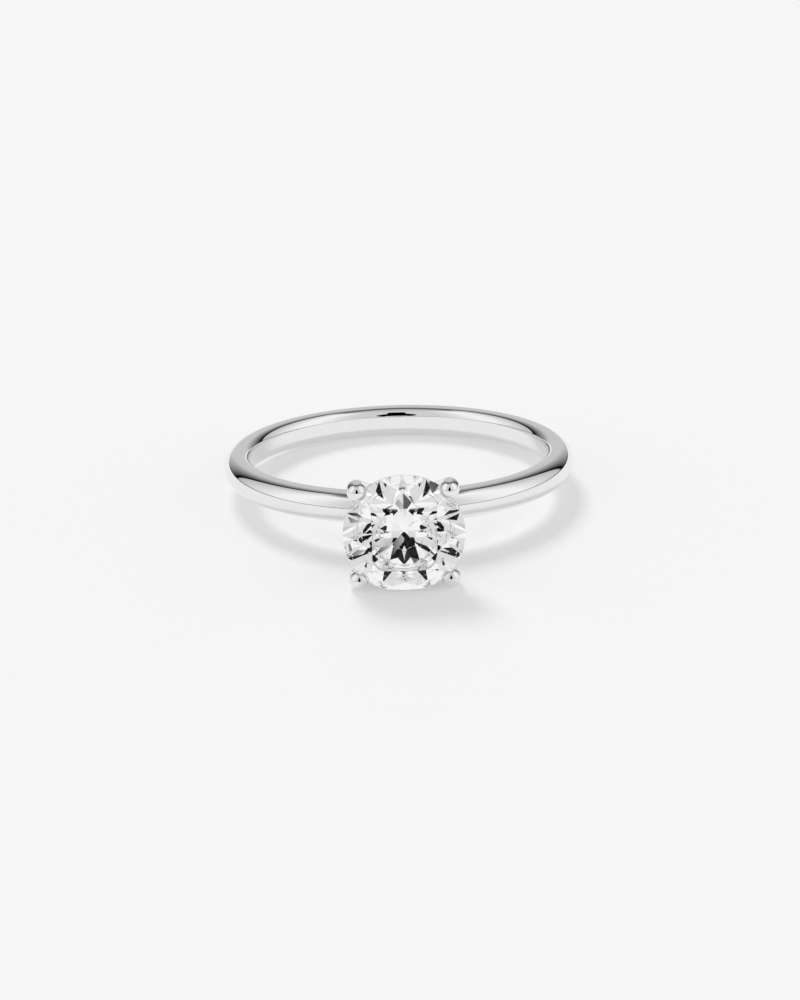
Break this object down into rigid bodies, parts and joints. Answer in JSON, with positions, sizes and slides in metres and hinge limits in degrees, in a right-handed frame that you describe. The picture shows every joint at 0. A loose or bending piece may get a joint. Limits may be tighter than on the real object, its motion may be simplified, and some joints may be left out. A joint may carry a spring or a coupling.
{
  "type": "engagement ring",
  "caption": "Slim polished white-gold finger ring with a raised open basket head that holds a round brilliant-cut clear stone in bead-tipped prongs.",
  "frame": {"origin": "centre of the finger hole, halfway across the band's width", "axes": "+Z along the finger hole, -Y out through the middle of the head and the stone's table, +X to the right when the stone faces the viewer"},
  "size_m": [0.0204, 0.0254, 0.0066],
  "materials": {
    "white_gold": "mirror-polished rhodium-plated white gold",
    "stone": "clear colourless faceted gemstone"
  },
  "bodies": {
    "root": {"shank": "white_gold", "head_base": "white_gold", "lower_rail": "white_gold", "gallery_rail": "white_gold", "prong_upper_right": "white_gold", "prong_upper_left": "white_gold", "prong_lower_left": "white_gold", "prong_lower_right": "white_gold", "diamond": "stone"}
  },
  "joints": []
}
